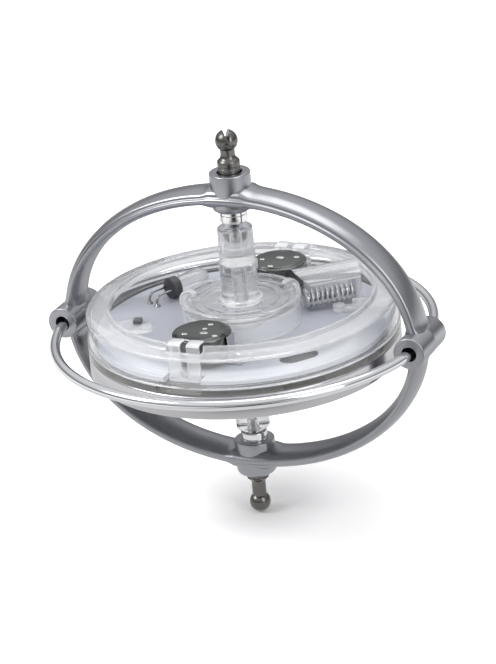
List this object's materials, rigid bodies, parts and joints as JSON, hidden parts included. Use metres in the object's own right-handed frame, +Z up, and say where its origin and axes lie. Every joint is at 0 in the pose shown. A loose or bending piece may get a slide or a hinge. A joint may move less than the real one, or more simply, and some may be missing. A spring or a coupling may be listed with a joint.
{
  "type": "gyroscope",
  "caption": "Demonstration gyroscope with a clear battery-lit rotor and metal rim, carried in an upright cast hoop and a level wire guard ring on ball-ended pivots.",
  "frame": {"origin": "lowest point of the lower ball foot, on the spin axis", "axes": "+Z up along the spin axis, +X along the line through the two side bosses, towards the right one"},
  "size_m": [0.082, 0.078, 0.0825],
  "materials": {
    "cast_metal": "satin grey cast",
    "wire_steel": "bright plated wire",
    "pivot_nickel": "dull nickel",
    "bright_chrome": "polished",
    "rim_steel": "turned",
    "clear_plastic": "clear moulded",
    "small_steel": "bright",
    "board_pale": "pale board",
    "cell_steel": "dark glossy can",
    "holder_black": "dark moulded",
    "lens_clear": "clear lens",
    "lead_tin": "tinned",
    "chip_black": "moulded",
    "spring_steel": "bright wire"
  },
  "bodies": {
    "frame": {"frame_hoop": "cast_metal", "guard_ring": "wire_steel", "upper_pivot_screw": "pivot_nickel", "lower_pivot_screw": "pivot_nickel", "upper_bush": "bright_chrome", "lower_bush": "bright_chrome"},
    "rotor": {"flywheel_ring": "rim_steel", "rotor_base": "clear_plastic", "rotor_cover": "clear_plastic", "hub_collar": "clear_plastic", "column_cap": "clear_plastic", "upper_thrust_cup": "small_steel", "lower_thrust_cup": "small_steel", "circuit_board": "board_pale", "battery_front": "cell_steel", "battery_rear": "cell_steel", "battery_clip_front": "clear_plastic", "battery_clip_rear": "clear_plastic", "contact_front": "small_steel", "contact_rear": "small_steel", "lamp_holder": "holder_black", "lamp_lens": "lens_clear", "lamp_leads": "lead_tin", "driver_chip": "chip_black", "switch_housing": "clear_plastic", "switch_spring": "spring_steel", "switch_contact": "small_steel"},
    "switch": {"switch_weight": "small_steel"}
  },
  "joints": [
    {"name": "rotor_spin", "type": "hinge", "parent": "frame", "child": "rotor", "pos_m": [0, 0, 0], "axis": [0, 0, 1], "continuous": true},
    {"name": "switch_slide", "type": "slide", "parent": "rotor", "child": "switch", "axis": [0.7826, 0.6225, 0], "range_m": [0, 0.001], "stiffness_N_per_m": 20, "deforming": ["switch_spring"]}
  ]
}
